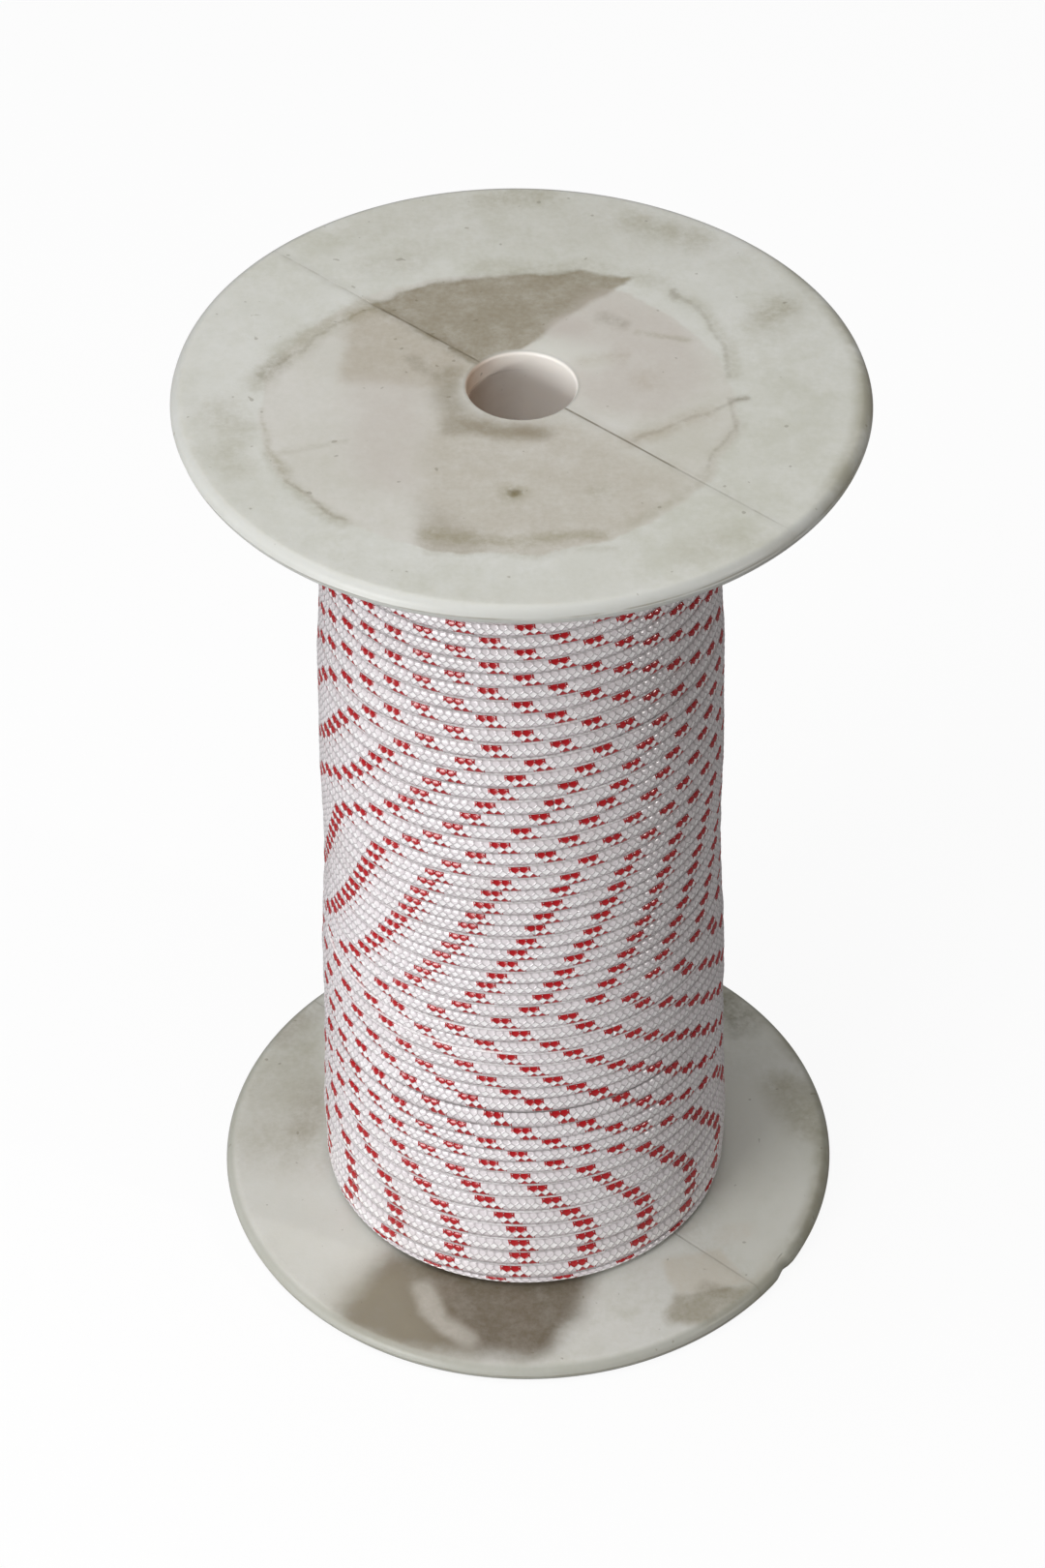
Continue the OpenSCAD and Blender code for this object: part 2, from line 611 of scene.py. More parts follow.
@dataclass(frozen=True)
class Braid:
    """Glossy white braid with a red tracer, drawn on the cord's own UV map, with painted shade in its dips,
    on its leaning columns and on its lower side.

    The map's U counts tracer leads along the cord, and V goes once round it. Stitches lie in eight columns,
    which lean by turns one way and the other: four columns of each family.

    Attributes:
        white: Screen colour of the yarn's crowns, as dip_shade is of the painted shade in the dips between
            them.
        streak_tint: What the yarn's streaks are multiplied by, as soil_tint is for soil.
        leaning_shade: Painted shade that the columns the tracer runs in are multiplied by, so they read
            darker than the opposed columns, which catch more light.
        tracer: Screen colour of the tracer's crowns, as tracer_dip_shade is of the painted shade in its dips.
        crevice_shade: Painted shade that the cord's lower side, where it meets the turn below, is multiplied
            by.
        family: Columns that lean the same way.
        stitches: Stitches in a lead, along one column.
        relief: Height of the crowns over the dips.
        taper: How fast a stitch narrows to its ends, on the upper side of what is seen; low_taper below it.
        seen_v: V of the middle of the seen side.
        tapered: Turns from there within which stitches narrow; from untapered on they don't.
        overhang: How far a tracer mark runs past its stitches, in leads.
        lean: How much stitches slant, in leads a turn.
        tracer_step: Leads that the tracer goes on in a turn round the cord.
        unevenness: How far stitches stray along the cord, in leads.
        edges: Shares of the way round the section, with the V that lies there.
        side: The attribute that tells the cord's lower side from its upper one.
    """

    white: Colour = (251, 249, 250)
    dip_shade: Colour = (134, 122, 124)
    streak_tint: Colour = (214, 208, 210)
    leaning_shade: Colour = (230, 226, 228)
    soil_tint: Colour = (170, 158, 146)
    tracer: Colour = (168, 18, 26)
    tracer_dip_shade: Colour = (116, 8, 14)
    crevice_shade: Colour = (146, 130, 128)
    roughness: float = 0.20
    family: float = 4.0
    stitches: int = 8
    relief: float = 0.18 * MM
    taper: float = 0.65
    low_taper: float = 0.95
    seen_v: float = -0.125
    tapered: float = 0.15
    untapered: float = 0.19
    overhang: float = 0.027
    lean: float = 0.08
    tracer_step: float = 0.5
    unevenness: float = 0.05
    edges: Points = ((-1, -0.99), (-0.300, -0.3125), (-0.176, -0.1875), (-0.074, -0.0625), (0.072, 0.0625),
                     (1, 1.01))
    side: str = "side"

    def height(self, u: np.ndarray, v: np.ndarray) -> np.ndarray:
        """Gives the stitches' relief, 0 in the valleys and 1 on the crowns.

        Args:
            u: Leads along the cord.
            v: Turns round the cord.

        Returns:
            The relief at each place.
        """
        near = np.round(self.family * v) / self.family
        far = (np.floor(self.family * v) + 0.5) / self.family
        off = 2 * self.family * np.abs(v - near)
        fade = (self.untapered - np.abs(v - self.seen_v)) / (self.untapered - self.tapered)
        taper = np.where(v > self.seen_v, self.taper, self.low_taper) * np.clip(fade, 0, 1)
        one = (2 * ((self.stitches * (u + near + self.lean * (v - near))) % 1) - 1) ** 2
        other = (2 * ((self.stitches * (u - far - self.lean * (v - far)) + 0.5) % 1) - 1) ** 2
        leaning = 1 - off ** 2 - taper * one
        opposed = 1 - (1 - off) ** 2 - taper * other
        across = np.where(leaning > opposed, one, other)
        margin = np.clip(np.abs(leaning - opposed) / 0.5, 0, 1)
        return (1 - 0.6 * across) * (0.5 + 0.5 * margin)

    def build(self, name: str, uv_map: str, dim: float = 1.0) -> bpy.types.Material:
        """Makes the cord's material.

        Args:
            name: The material's name.
            uv_map: The cord's UV map.
            dim: How far the yarn's colours are darkened as painted shade, 1 on the outer layer.

        Returns:
            The material.
        """
        g = Graph(name)
        u, v, _ = g.parts(g.node("UVMap", uv_map=uv_map))
        place = g.node("TexCoord", output="Object")
        u = u + (g.noise(place, 260, 2, 0.6) - 0.5) * self.unevenness
        near = g.math("ROUND", v * self.family) * (1 / self.family)
        far = (g.math("FLOOR", v * self.family) + 0.5) * (1 / self.family)
        beside = v - near
        off = abs(beside) * (2 * self.family)
        rise = u + near + beside * self.lean
        fall = u - far - (v - far) * self.lean
        one = self._across(g, rise)
        other = self._across(g, fall + 0.5 / self.stitches)
        depth = g.math("LESS_THAN", v, self.seen_v) * (self.taper - self.low_taper) - self.taper
        taper = g.step(abs(v - self.seen_v), self.untapered, self.tapered) * depth
        leaning = self._bulge(off) + one * taper
        opposed = self._bulge(1.0 - off) + other * taper
        ahead = leaning - opposed
        wins = g.step(ahead, -0.02, 0.02)
        across = other + wins * (one - other)
        clear = abs(ahead)
        crown = (across * -0.6 + 1.0) * (g.step(clear, 0.0, 0.5) * 0.5 + 0.5)
        # Painted shade: a grey line where the two families of columns meet, and darker dips between stitches.
        seam_shade = g.step(clear, 0.30, 0.02) * 0.50
        light = 1.0 - g.math("MAXIMUM", seam_shade, across * across * 0.34)
        turn = abs(g.math("FRACT", u + near * self.tracer_step + beside * self.lean) - 0.5)
        spread = 0.5 - 1 / self.stitches - self.overhang
        red = wins * g.step(turn, spread - 0.004, spread + 0.004)
        # The dips between stitches take painted shade.
        white = g.mix(light, linear(self.dip_shade, dim), linear(self.white, dim))
        streak = g.step(g.noise(place, 800, 3, 0.7), 0.30, 0.70)
        white = g.mix(streak * 0.4, white, linear(self.streak_tint, dim), "MULTIPLY")
        # Painted shade on the leaning columns, darker than the opposed ones, which catch more light.
        white = g.mix(wins, white, linear(self.leaning_shade), "MULTIPLY")
        nearby = g.step(turn, 0.24, 0.40) * 0.18
        white = g.mix(nearby * (1.0 - light), white, linear(self.tracer, dim))
        # The tracer's dips take painted shade too.
        scarlet = g.mix(light, linear(self.tracer_dip_shade, dim), linear(self.tracer, dim))
        tone = g.mix(red, white, scarlet)
        side = g.node("Attribute", output="Fac", attribute_name=self.side)
        # Painted shade on the cord's lower side, where it meets the turn below.
        low_side_shade = g.step(side, -0.32, -0.80) * (streak * 0.5 + 0.32)
        tone = g.mix(low_side_shade * (1.0 - red), tone, linear(self.crevice_shade), "MULTIPLY")
        soil = g.step(g.noise(place, 55, 4, 0.6), 0.45, 0.8) * 0.16
        tone = g.mix(soil, tone, linear(self.soil_tint, dim), "MULTIPLY")
        g.fill(g.shader, {
            "Base Color": tone,
            "Roughness": self.roughness,
            "Specular IOR Level": 0.7,
            "Sheen Weight": 0.15,
            "Sheen Roughness": 0.4,
            "Normal": g.bump(crown, self.relief),
        })
        return g.material

    def _across(self, g: Graph, run: Value) -> Value:
        """Gives the square of the place across a strand, 0 on its middle and 1 between it and the next."""
        across = g.math("FRACT", run * float(self.stitches)) * 2.0 - 1.0
        return across * across

    @staticmethod
    def _bulge(off: Value) -> Value:
        """Gives the height of a family of stitches, 1 on the middle of a column and 0 between columns."""
        return 1.0 - off * off


# ---------------------------------------------------------------- the reel


class Face(Enum):
    """Which flange a disc is."""

    UPPER = "upper_flange"
    LOWER = "lower_flange"


def pipe(outer: float, inner: float, low: float, high: float, segments: int,
         loops: tuple[float, ...] = ()) -> bpy.types.Object:
    """Models a round disc or tube with a hole through it, and stays in edit mode.

    Args:
        outer: Outside radius.
        inner: Radius of the hole.
        low: Height of the lower end.
        high: Height of the upper end.
        segments: Sides of the circle.
        loops: Radii between the two at which the ends get another loop of edges, falling.

    Returns:
        The object, in edit mode.
    """
    deselect_all()
    middle = (0, 0, (low + high) / 2)
    bpy.ops.mesh.primitive_cylinder_add(vertices=segments, radius=outer, depth=high - low,
                                        end_fill_type="NGON", location=middle)
    bpy.ops.object.transform_apply(location=True, rotation=True, scale=True)
    piece = bpy.context.object
    bpy.ops.object.mode_set(mode="EDIT")
    bpy.ops.mesh.select_mode(type="FACE")
    select(piece, lambda f: len(f.verts) > 4, "faces")
    at = outer
    for radius in (*loops, inner):
        bpy.ops.mesh.extrude_region()
        bpy.ops.transform.resize(value=(radius / at, radius / at, 1), center_override=middle)
        at = radius
    bpy.ops.mesh.bridge_edge_loops()
    return piece


def select(piece: bpy.types.Object, test: object, kind: str) -> None:
    """Selects the faces, edges or verts of a mesh in edit mode that pass a test, and nothing else.

    Args:
        piece: The object in edit mode.
        test: A function of one face, edge or vertex.
        kind: "faces", "edges" or "verts".
    """
    mesh = bmesh.from_edit_mesh(piece.data)
    for group in (mesh.verts, mesh.edges, mesh.faces):
        for element in group:
            element.select = False
    for element in getattr(mesh, kind):
        if test(element):
            element.select_set(True)
    bmesh.update_edit_mesh(piece.data)


@dataclass
class Flange:
    """One disc flange with a fully rounded rim, a soft bore mouth, a flash line and a parting groove.

    Attributes:
        face: Which flange it is.
        radius: Outside radius.
        bore: Radius of the bore.
        low: Height of its lower face.
        high: Height of its upper face.
        lean: Rise of the disc a metre along X and along Y.
        nick_way: Angle of the nick in the lower rim, in degrees like its width.
        sag_way: Angle at which the upper disc sags most, in degrees, from a share of its radius outwards.
        weld: Distance within which points are one.
        level: Difference of height within which edges are level.
    """

    face: Face
    radius: float
    bore: float
    low: float
    high: float
    lean: tuple[float, float] = (0.0, 0.0)
    segments: int = 256
    rim_steps: int = 10
    mouth_steps: int = 8
    mouth: float = 0.9 * MM
    flash: float = 0.10 * MM
    groove_width: float = 0.30 * MM
    groove_depth: float = 0.12 * MM
    nick_way: float = 56.0
    nick_width: float = 1.6
    nick_depth: float = 0.7 * MM
    sag_way: float = 128.0
    sag_from: float = 0.55
    sag_depth: float = 0.9 * MM
    weld: float = 0.02 * MM
    level: float = 0.1 * MM
    loops: tuple[float, ...] = (0.955, 0.90, 0.80, 0.68, 0.56, 0.44, 0.34, 0.26)

    @property
    def thickness(self) -> float:
        """Thickness of the disc."""
        return self.high - self.low

    @property
    def middle(self) -> float:
        """Height of the middle of the disc."""
        return (self.low + self.high) / 2

    @property
    def outer_face(self) -> float:
        """Height of the face that looks away from the winding."""
        return self.high if self.face is Face.UPPER else self.low

    def build(self, material: bpy.types.Material) -> None:
        """Models the disc and puts it in place of its CAD node.

        Args:
            material: The plastic.
        """
        loops = tuple(share * self.radius for share in self.loops)
        piece = pipe(self.radius, self.bore, self.low, self.high, self.segments, loops)
        bpy.ops.mesh.select_mode(type="EDGE")
        select(piece, self._is_rim_edge, "edges")
        almost_half = self.thickness / 2 * 0.995
        bpy.ops.mesh.bevel(offset=almost_half, segments=self.rim_steps, affect="EDGES", clamp_overlap=True)
        select(piece, self._is_mouth_edge, "edges")
        bpy.ops.mesh.bevel(offset=self.mouth, segments=self.mouth_steps, affect="EDGES", clamp_overlap=True)
        bpy.ops.mesh.select_all(action="SELECT")
        bpy.ops.mesh.remove_doubles(threshold=self.weld)
        self._cut_parting_line()
        leave_edit_mode()
        self._shape(piece)
        shade_smooth(piece)
        install(piece, f"{self.face.value}_disc", material, (self.face.value,))

    def _is_rim_edge(self, edge: bmesh.types.BMEdge) -> bool:
        """Tells the sharp edges round the rim."""
        return all(v.co.xy.length > self.radius * 0.99 for v in edge.verts) and \
            abs(edge.verts[0].co.z - edge.verts[1].co.z) < self.level

    def _is_mouth_edge(self, edge: bmesh.types.BMEdge) -> bool:
        """Tells the sharp edge at the bore's outer mouth."""
        return all(v.co.xy.length < self.bore * 1.01 and abs(v.co.z - self.outer_face) < self.level
                   for v in edge.verts)

    def _cut_parting_line(self) -> None:
        """Cuts three lines of edges along the parting line, for the groove's middle and sides."""
        across = Vector((-math.sin(PARTING_WAY), math.cos(PARTING_WAY), 0))
        for side in (-1, 0, 1):
            bpy.ops.mesh.select_all(action="SELECT")
            bpy.ops.mesh.bisect(plane_co=across * side * self.groove_width, plane_no=across)

    def _shape(self, piece: bpy.types.Object) -> None:
        """Sinks the parting groove, raises the flash line and lets the disc lean, as its mould left it.

        Args:
            piece: The disc, in object mode.
        """
        mesh = piece.data
        co = np.empty(len(mesh.vertices) * 3)
        mesh.vertices.foreach_get("co", co)
        co = co.reshape(-1, 3)
        out = np.hypot(co[:, 0], co[:, 1])
        across = -math.sin(PARTING_WAY) * co[:, 0] + math.cos(PARTING_WAY) * co[:, 1]
        flat = (out > self.bore + self.mouth * 0.5) & (out < self.radius - self.thickness / 2)
        in_groove = flat & (np.abs(across) < 0.05 * MM)
        top = np.abs(co[:, 2] - self.high) < self.weld
        bottom = np.abs(co[:, 2] - self.low) < self.weld
        depth = self.groove_depth * np.where(out < 0.6 * self.radius, 1.0, 0.25)
        co[:, 2] -= np.where(in_groove & top, depth, 0)
        co[:, 2] += np.where(in_groove & bottom, depth, 0)
        rim = out > self.radius - self.thickness / 2
        off_middle = np.abs(co[:, 2] - self.middle)
        keep = np.where(rim & (off_middle > self.level), 1 - self.flash / self.radius, 1.0)
        co[:, :2] *= keep[:, None]
        angle = np.degrees(np.arctan2(co[:, 0], -co[:, 1]))
        if self.face is Face.LOWER:
            nick = np.exp(-((angle - self.nick_way) / self.nick_width) ** 2) * (out > self.radius * 0.97)
            co[:, :2] *= (1 - self.nick_depth / self.radius * nick)[:, None]
        co[:, 2] += self.lean[0] * co[:, 0] + self.lean[1] * co[:, 1]
        if self.face is Face.UPPER:
            sag = np.clip((out / self.radius - self.sag_from) / (1 - self.sag_from), 0, 1) ** 2
            side = np.clip(np.cos(np.radians(angle - self.sag_way)), 0, 1) ** 3
            co[:, 2] -= self.sag_depth * sag * side
        mesh.vertices.foreach_set("co", co.ravel())
        mesh.update()


@dataclass
class Barrel:
    """The tube between the flanges, which the spindle bore runs through."""

    outer: float
    bore: float
    low: float
    high: float
    segments: int = 128

    def build(self, material: bpy.types.Material) -> None:
        """Models the tube and puts it in place of its CAD node.

        Args:
            material: The plastic.
        """
        between = (self.outer + self.bore) / 2
        piece = pipe(self.outer, self.bore, self.low, self.high, self.segments, (between,))
        leave_edit_mode()
        shade_smooth(piece)
        install(piece, "barrel_tube", material, ("barrel",))


# ---------------------------------------------------------------- the winding


@dataclass(frozen=True)
class Dip:
    """A stretch of one turn that has sunk between its neighbours, which close in over it.

    Attributes:
        turn: The turn's number.
        start: Angle at which it starts, in degrees from the front.
        end: Angle at which it ends.
        depth: How far it has sunk, in millimetres.
        close: How far the neighbours move in, in millimetres, or apart if it is negative.
        fade: Angle over which it fades beyond its ends.
    """

    turn: float
    start: float
    end: float
    depth: float
    close: float
    fade: float = 14.0

    def weight(self, angle: np.ndarray) -> np.ndarray:
        """Tells how much of the dip there is at an angle.

        Args:
            angle: Angles from the front, in degrees.

        Returns:
            1 along the stretch, fading to 0 beyond its ends.
        """
        rise = np.clip((angle - self.start) / self.fade + 1, 0, 1)
        fall = np.clip((self.end - angle) / self.fade + 1, 0, 1)
        share = np.minimum(rise, fall)
        return share * share * (3 - 2 * share)


@dataclass
class Winding:
    """The cord's outer layer, wound as one long tube, with the layer under it and a drum for the rest.

    Heights and radii in the curves are millimetres. Turns are counted from the lower flange, and a
    turn's number is whole where it passes the front.

    Attributes:
        cord_d: Diameter of the cord.
        low: Height of the lower flange's inner face.
        high: Height of the upper flange's inner face.
        barrel: Radius of the barrel.
        finish: The braid, whose stitches stand out.
        flatness: Height of the flattened cord's section over its width.
        half_width: Half the cord's width, in pitches, and at most widest, in cord diameters.
        swell: Height of the slow waves that lift the turns a little.
        drift: How far the turns wander up and down, in millimetres.
        tuck_turns: How much of a turn each end takes to tuck in, by tuck_depth cord diameters.
        under_sink: How far the layer beneath lies under the outer one, in cord diameters.
        drum_sink: How far the drum lies inside the winding's outline, in cord diameters.
        drum_foot: Height at which the drum's lower end takes its radius, in millimetres.
        seen_half: Angle of the section's seen side from its middle to either end, in degrees.
    """

    cord_d: float
    low: float
    high: float
    barrel: float
    finish: Braid
    first_turn: float = -0.45
    last_turn: float = 59.3
    leads_per_turn: float = 19.0
    lead_angle: float = 19.2
    flatness: float = 0.46
    half_width: float = 0.505
    widest: float = 0.68
    sunward: float = 0.6 * MM
    lean_way: float = 20.0
    swell: float = 0.06 * MM
    drift: float = 0.17
    tuck_turns: float = 0.12
    tuck_depth: float = 0.9
    under_sink: float = 0.92
    under_from: float = 0.3
    under_rings: int = 96
    under_corners: int = 8
    drum_sink: float = 2.2
    drum_clearance: float = 0.1 * MM
    drum_foot: float = 10.0
    drum_segments: int = 96
    samples: int = 40000
    rings_per_lead: int = 24
    seen_half: float = 108.0
    seen_corners: int = 13
    hidden_corners: tuple[float, ...] = (150.0, 210.0)
    piece_count: int = 6
    uv_map: str = "cord"
    heights: Points = ((-0.5, 5.5), (0, 5.7), (2, 12.4), (5, 23.7), (8, 34.7), (10, 40.9), (12, 47.0),
                       (14, 55.0), (16, 61.2), (19, 70.5), (21, 76.9), (26, 91.7), (31, 106.9), (36, 122.5),
                       (41, 138.7), (45, 152.1), (48, 161.6), (51, 170.4), (59.3, 193.5))
    radii: Points = ((5, 40.6), (17, 41.0), (34, 40.2), (56, 39.8), (67, 39.5), (78, 39.0), (83, 38.6),
                     (93, 38.3), (108, 38.4), (128, 38.2), (140, 37.9), (150, 37.3), (165, 36.9), (195, 36.5))
    phases: Points = ((0, -48), (2, -41), (4, -42), (6, -51), (8, -60), (10, -80), (13, -106), (16, -127),
                      (19, -147), (21, -161), (22, -153), (24, -146), (27, -137), (31, -127), (33, -122),
                      (36, -103), (38, -92), (40, -84), (42, -74), (44, -58), (47, -29), (51, 10), (60, 96))
    rolls: Points = ((0, 37), (8, 37), (11, 46), (13, 48), (15, 36), (17, 34), (19, 34), (21, 36), (24, 37),
                     (60, 37))
    dips: tuple[Dip, ...] = (Dip(20, -74, -46, 0.6, 0.30), Dip(19, -40, -12, 0.4, 0.20),
                             Dip(7.5, 22, 40, 0, -0.08), Dip(3.5, -40, -10, 0, -0.06))
    leans: Points = ((5, 0.0), (30, -0.5), (60, -0.4), (75, 0.3), (90, 0.8), (125, 1.7), (165, 1.7),
                     (194, 0.0))

    def settled(self, turn: np.ndarray) -> tuple[np.ndarray, np.ndarray]:
        """Gives what the dips do to the cord.

        Args:
            turn: Turn numbers.

        Returns:
            How far they raise it and how far they sink it, in millimetres.
        """
        number = np.round(turn)
        angle = (turn - number) * 360
        raised, sunk = np.zeros_like(turn), np.zeros_like(turn)
        for dip in self.dips:
            weight = dip.weight(angle)
            beside = number - dip.turn
            sunk += dip.depth * weight * (np.abs(beside) < 0.25)
            reach = np.exp(-np.maximum(np.abs(beside) - 1, 0) / 1.6)
            raised -= np.sign(np.where(np.abs(beside) < 0.25, 0, beside)) * dip.close * weight * reach
        return raised, sunk

    def path(self, turn: np.ndarray, sink: float = 0.0, hand: int = 1) -> np.ndarray:
        """Gives points on the middle of the cord.

        Args:
            turn: Turn numbers.
            sink: How far under the outer layer the cord lies.
            hand: 1 for the outer layer's way of winding, -1 for the other.

        Returns:
            One point a row.
        """
        angle = 2 * np.pi * turn * hand
        height = smooth_through(self.heights, turn)
        lean = smooth_through(self.leans, height) * np.sin(angle - math.radians(self.lean_way))
        radius = smooth_through(self.radii, height) * MM - self.flatness * self.cord_d / 2 - sink
        radius = radius + self._wobble(angle * hand) - self.sunward * np.sin(angle)
        radius = radius - self._tuck(turn)
        raised, sunk = self.settled(turn) if hand > 0 else (0.0, 0.0)
        radius = radius - sunk * MM
        z = (height + lean + raised + self.drift * np.sin(turn * 2.3) * np.sin(angle * 0.71)) * MM
        return np.stack([radius * np.sin(angle), -radius * np.cos(angle), z], 1)

    def _wobble(self, angle: np.ndarray) -> np.ndarray:
        """Lets the turns lie a little uneven, by a slow sum of waves."""
        return self.swell * (np.sin(angle * 0.37) + np.sin(angle * 1.613 + 1.0) + np.sin(angle * 0.117 + 2.0))

    def _tuck(self, turn: np.ndarray) -> np.ndarray:
        """Brings the cord up from the layer below at its start, and tucks its end in behind.

        Args:
            turn: Turn numbers.

        Returns:
            How far inwards the cord goes.
        """
        start = np.clip(1 - (turn - self.first_turn) / self.tuck_turns, 0, 1) ** 2
        end = np.clip(1 - (self.last_turn - turn) / self.tuck_turns, 0, 1) ** 2
        return (start + end) * self.cord_d * self.tuck_depth

    def leads(self, turn: np.ndarray) -> np.ndarray:
        """Gives the number of tracer leads along the cord up to a turn."""
        return self.leads_per_turn * turn - smooth_through(self.phases, turn) / self.lead_angle

    def build(self, outer: bpy.types.Material, under: bpy.types.Material) -> None:
        """Builds the outer layer in lengths, the layer under it and the drum.

        Args:
            outer: The cord's material.
            under: The material of the layers beneath, the braid darkened as painted shade.
        """
        first = math.ceil(self.leads(np.array([self.first_turn]))[0])
        last = math.floor(self.leads(np.array([self.last_turn]))[0])
        cuts = np.round(np.linspace(first, last, self.piece_count + 1)).astype(int)
        for number, (a, b) in enumerate(zip(cuts[:-1], cuts[1:]), 1):
            tube = self._length_of_cord(int(a), int(b))
            nodes = ("cord_outer_layer",) if number == 1 else ()
            install(tube, f"cord_outer_layer_{number}", outer, nodes)
        install(self._under_layer(), "cord_under_layer", under)
        install(self._drum(), "cord_drum", under, ("cord_inner_layers",))

    def _length_of_cord(self, first_lead: int, last_lead: int) -> bpy.types.Object:
        """Builds the tube between two whole leads.

        Args:
            first_lead: The lead at which it starts.
            last_lead: The lead at which it ends.

        Returns:
            The mesh object.
        """
        dense = np.linspace(self.first_turn, self.last_turn, self.samples)
        rings = self.rings_per_lead
        lead = np.arange(first_lead * rings, last_lead * rings + 1) / rings
        turn = np.interp(lead, self.leads(dense), dense)
        width = np.minimum(self._pitch(turn) * self.half_width, self.cord_d * self.widest)
        seen = np.linspace(-self.seen_half, self.seen_half, self.seen_corners)
        section = np.radians(np.concatenate([seen, self.hidden_corners]))
        return self._tube(turn, lead - first_lead, width, section, True)

    def _pitch(self, turn: np.ndarray) -> np.ndarray:
        """Gives the distance between a turn and its neighbours."""
        return (smooth_through(self.heights, turn + 0.5) - smooth_through(self.heights, turn - 0.5)) * MM

    def _tube(self, turn: np.ndarray, lead: np.ndarray, width: np.ndarray, section: np.ndarray,
              stitched: bool, sink: float = 0.0, hand: int = 1) -> bpy.types.Object:
        """Sweeps the cord's section along its path.

        Args:
            turn: The rings' turn numbers.
            lead: The rings' places along the cord, in leads.
            width: Half the cord's width at each ring.
            section: Angles of the section's corners, 0 outwards and 90 degrees up.
            stitched: Whether the stitches stand out.
            sink: How far under the outer layer the cord lies.
            hand: Which way it winds.

        Returns:
            The mesh object.
        """
        step = 0.001
        middle = self.path(turn, sink, hand)
        along = self.path(turn + step, sink, hand) - self.path(turn - step, sink, hand)
        along /= np.linalg.norm(along, axis=1)[:, None]
        angle = 2 * np.pi * turn * hand
        out = np.stack([np.sin(angle), -np.cos(angle), np.zeros_like(angle)], 1)
        out -= (out * along).sum(1)[:, None] * along
        out /= np.linalg.norm(out, axis=1)[:, None]
        up = np.cross(out, along) * hand
        roll = self._round_share(np.radians(smooth_through(self.rolls, turn)))
        v = np.interp(self._round_share(section)[None, :] - roll[:, None], *zip(*self.finish.edges))
        relief = self.finish.height(lead[:, None], v) * self.finish.relief if stitched else np.zeros_like(v)
        half = self.cord_d / 2 - self.finish.relief / 2
        tall = half * self.flatness + relief
        wide = width[:, None] - self.finish.relief / 2 + relief
        points = middle[:, None, :] + out[:, None, :] * (tall * np.cos(section))[:, :, None] \
            + up[:, None, :] * (wide * np.sin(section))[:, :, None]
        sides = np.broadcast_to(np.sin(section), v.shape)
        return tube_mesh(points, lead, v, self.uv_map, sides, self.finish.side)

    def _round_share(self, angle: np.ndarray) -> np.ndarray:
        """Tells how far round the flattened cord an angle of its section lies.

        Args:
            angle: Angles of the section, 0 outwards.

        Returns:
            Shares of the whole way round.
        """
        dense = np.linspace(-np.pi, 2 * np.pi, 3001)
        pace = np.hypot(np.cos(dense), self.flatness * np.sin(dense))
        run = np.concatenate([[0], np.cumsum((pace[1:] + pace[:-1]) / 2)])
        run -= np.interp(0, dense, run)
        return np.interp(angle, dense, run) / run[-1]

    def _under_layer(self) -> bpy.types.Object:
        """Builds the layer under the outer one, wound the other way and seen only between the turns.

        Returns:
            The mesh object.
        """
        turn = np.arange(self.first_turn + self.under_from, self.last_turn - self.under_from,
                         1 / self.under_rings)
        lead = self.leads_per_turn * turn
        width = np.minimum(self._pitch(turn), self.cord_d) / 2
        section = np.linspace(0, 2 * np.pi, self.under_corners, endpoint=False)
        return self._tube(turn, lead, width, section, False, self.cord_d * self.under_sink, -1)

    def _drum(self) -> bpy.types.Object:
        """Models the drum of inner layers as a turned ring whose ends lie against the flanges.

        Returns:
            The mesh object.
        """
        sink = self.drum_sink * self.cord_d
        radius = min(r for _, r in self.radii) * MM - sink
        piece = pipe(radius, self.barrel + self.drum_clearance, self.low, self.high, self.drum_segments)
        half_way = (self.low + self.high) / 2
        select(piece, lambda v: v.co.xy.length > radius * 0.9 and v.co.z < half_way, "verts")
        wider = (smooth_through(self.radii, np.array([self.drum_foot]))[0] * MM - sink) / radius
        bpy.ops.transform.resize(value=(wider, wider, 1), center_override=(0, 0, self.low))
        leave_edit_mode()
        shade_smooth(piece)
        return piece


def tube_mesh(points: np.ndarray, lead: np.ndarray, v: np.ndarray, uv_map: str, side: np.ndarray,
              side_name: str) -> bpy.types.Object:
    """Makes a closed tube from rings of points, with its UV map and an attribute for its two sides.

    Args:
        points: Rings by corners by 3.
        lead: U of each ring.
        v: V of each corner.
        uv_map: Name of the UV map.
        side: Place across the cord of each point, -1 at its lower side and 1 at its upper side.
        side_name: Name of the attribute that holds it.

    Returns:
        The mesh object.
    """
    rings, sides, _ = points.shape
    ring, corner = np.meshgrid(np.arange(rings - 1), np.arange(sides), indexing="ij")
    after = (corner + 1) % sides
    quads = np.stack([ring * sides + corner, ring * sides + after, (ring + 1) * sides + after,
                      (ring + 1) * sides + corner], -1).reshape(-1, 4)
    wrap = (after < corner).astype(float)
    v_here, v_after = v[ring, corner], v[ring, after] + wrap
    u_here, u_next = lead[ring], lead[ring + 1]
    uv = np.stack([u_here, v_here, u_here, v_after, u_next, v[ring + 1, after] + wrap,
                   u_next, v[ring + 1, corner]], -1).reshape(-1, 2)
    caps = [list(range(sides))[::-1], list(range((rings - 1) * sides, rings * sides))]
    cap_uv = np.zeros((2 * sides, 2))
    mesh = bpy.data.meshes.new("tube")
    mesh.from_pydata(points.reshape(-1, 3), [], quads.tolist() + caps)
    mesh.shade_smooth()
    layer = mesh.uv_layers.new(name=uv_map)
    layer.data.foreach_set("uv", np.concatenate([uv, cap_uv]).ravel())
    mesh.attributes.new(side_name, "FLOAT", "POINT").data.foreach_set("value", side.ravel())
    piece = bpy.data.objects.new("tube", mesh)
    bpy.context.scene.collection.objects.link(piece)
    return piece


